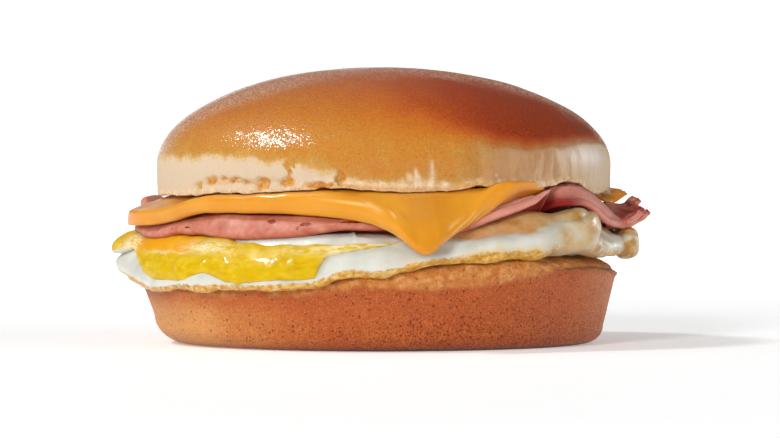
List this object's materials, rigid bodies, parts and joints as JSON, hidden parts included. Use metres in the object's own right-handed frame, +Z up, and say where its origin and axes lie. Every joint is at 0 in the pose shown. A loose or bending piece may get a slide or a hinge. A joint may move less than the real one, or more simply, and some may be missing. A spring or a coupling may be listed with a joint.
{
  "type": "breakfast sandwich",
  "caption": "Toasted bun sandwich with fried egg, runny yolk, ham slices and melted cheese; rests on its flat foot.",
  "frame": {"origin": "centre of the flat underside of the bottom bun", "axes": "+Z up through the stack; -Y towards the shown front, where the cheese corner hangs; +X to the right of that front"},
  "size_m": [0.119, 0.1176, 0.0617],
  "materials": {
    "bun_crown_crust": "browned crust with a soft satin glaze, pale cream at its side",
    "bun_heel_crust": "fine-pored matt baked crust",
    "egg_white": "moist cooked white with a browned lacy rim",
    "egg_yolk": "wet, runny and glossy",
    "ham": "moist sliced ham with darker specks and fibrous torn edges",
    "cheese": "smooth soft melted cheese with a satin sheen"
  },
  "bodies": {
    "root": {"bun_heel": "bun_heel_crust", "egg_white": "egg_white", "egg_yolk": "egg_yolk", "ham_slice_lower": "ham", "ham_slice_upper": "ham", "cheese_slice": "cheese", "bun_crown": "bun_crown_crust"}
  },
  "joints": []
}
